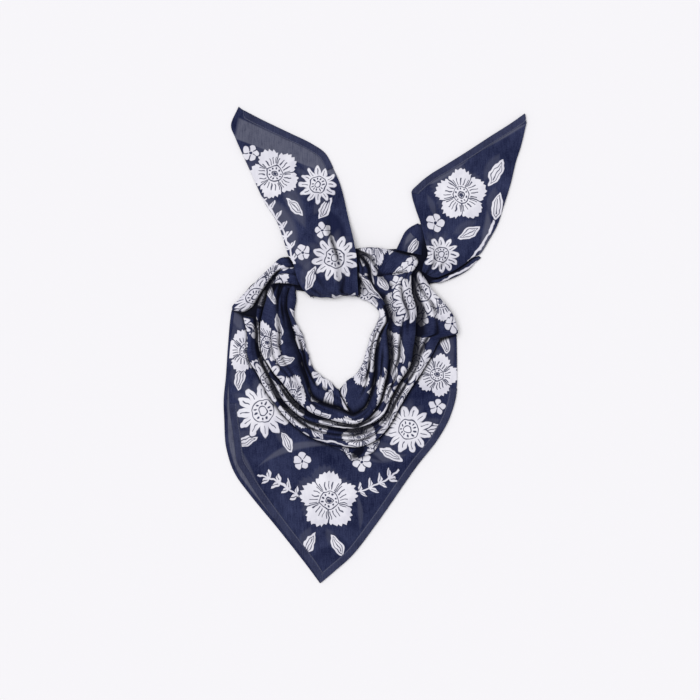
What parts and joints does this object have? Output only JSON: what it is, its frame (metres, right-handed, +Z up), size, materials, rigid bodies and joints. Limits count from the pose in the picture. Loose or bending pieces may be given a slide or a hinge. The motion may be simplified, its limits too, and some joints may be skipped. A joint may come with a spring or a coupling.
{
  "type": "bandana",
  "caption": "Printed cotton bandana folded to a triangle, tied in a square knot with two ears and laid flat, its cowl in folds over a pointed bib.",
  "frame": {"origin": "middle of the bounding box in plan, on the surface the cloth lies on", "axes": "+Z up from the surface, -Y towards the point of the bib, +Y towards the two tied ears, +X to the wearer's left"},
  "size_m": [0.3028, 0.4764, 0.0189],
  "materials": {
    "printed_cotton": "fine plain weave, matt, navy ground with a pale floral print",
    "single_layer": "the same cloth where one layer lies alone on a pale surface, so it looks lighter",
    "hem": "the same cloth turned twice and stitched, matt"
  },
  "bodies": {
    "root": {"bib_over": "printed_cotton", "cowl_fold_1": "printed_cotton", "cowl_fold_2": "printed_cotton", "cowl_fold_3": "printed_cotton", "neckline_left": "printed_cotton", "neckline_right": "printed_cotton", "cowl_tuck": "printed_cotton", "collar_left": "printed_cotton", "knot_tuck": "printed_cotton", "knot_pleat": "printed_cotton", "ear_left_over": "printed_cotton", "ear_right_base": "printed_cotton", "ear_right_over": "printed_cotton", "ear_right_roll": "printed_cotton", "knot_core": "printed_cotton", "bib_under": "single_layer", "ear_left_under": "single_layer", "ear_right_under": "single_layer", "bib_hem": "hem", "ear_left_hem": "hem", "ear_right_hem": "hem"}
  },
  "joints": []
}
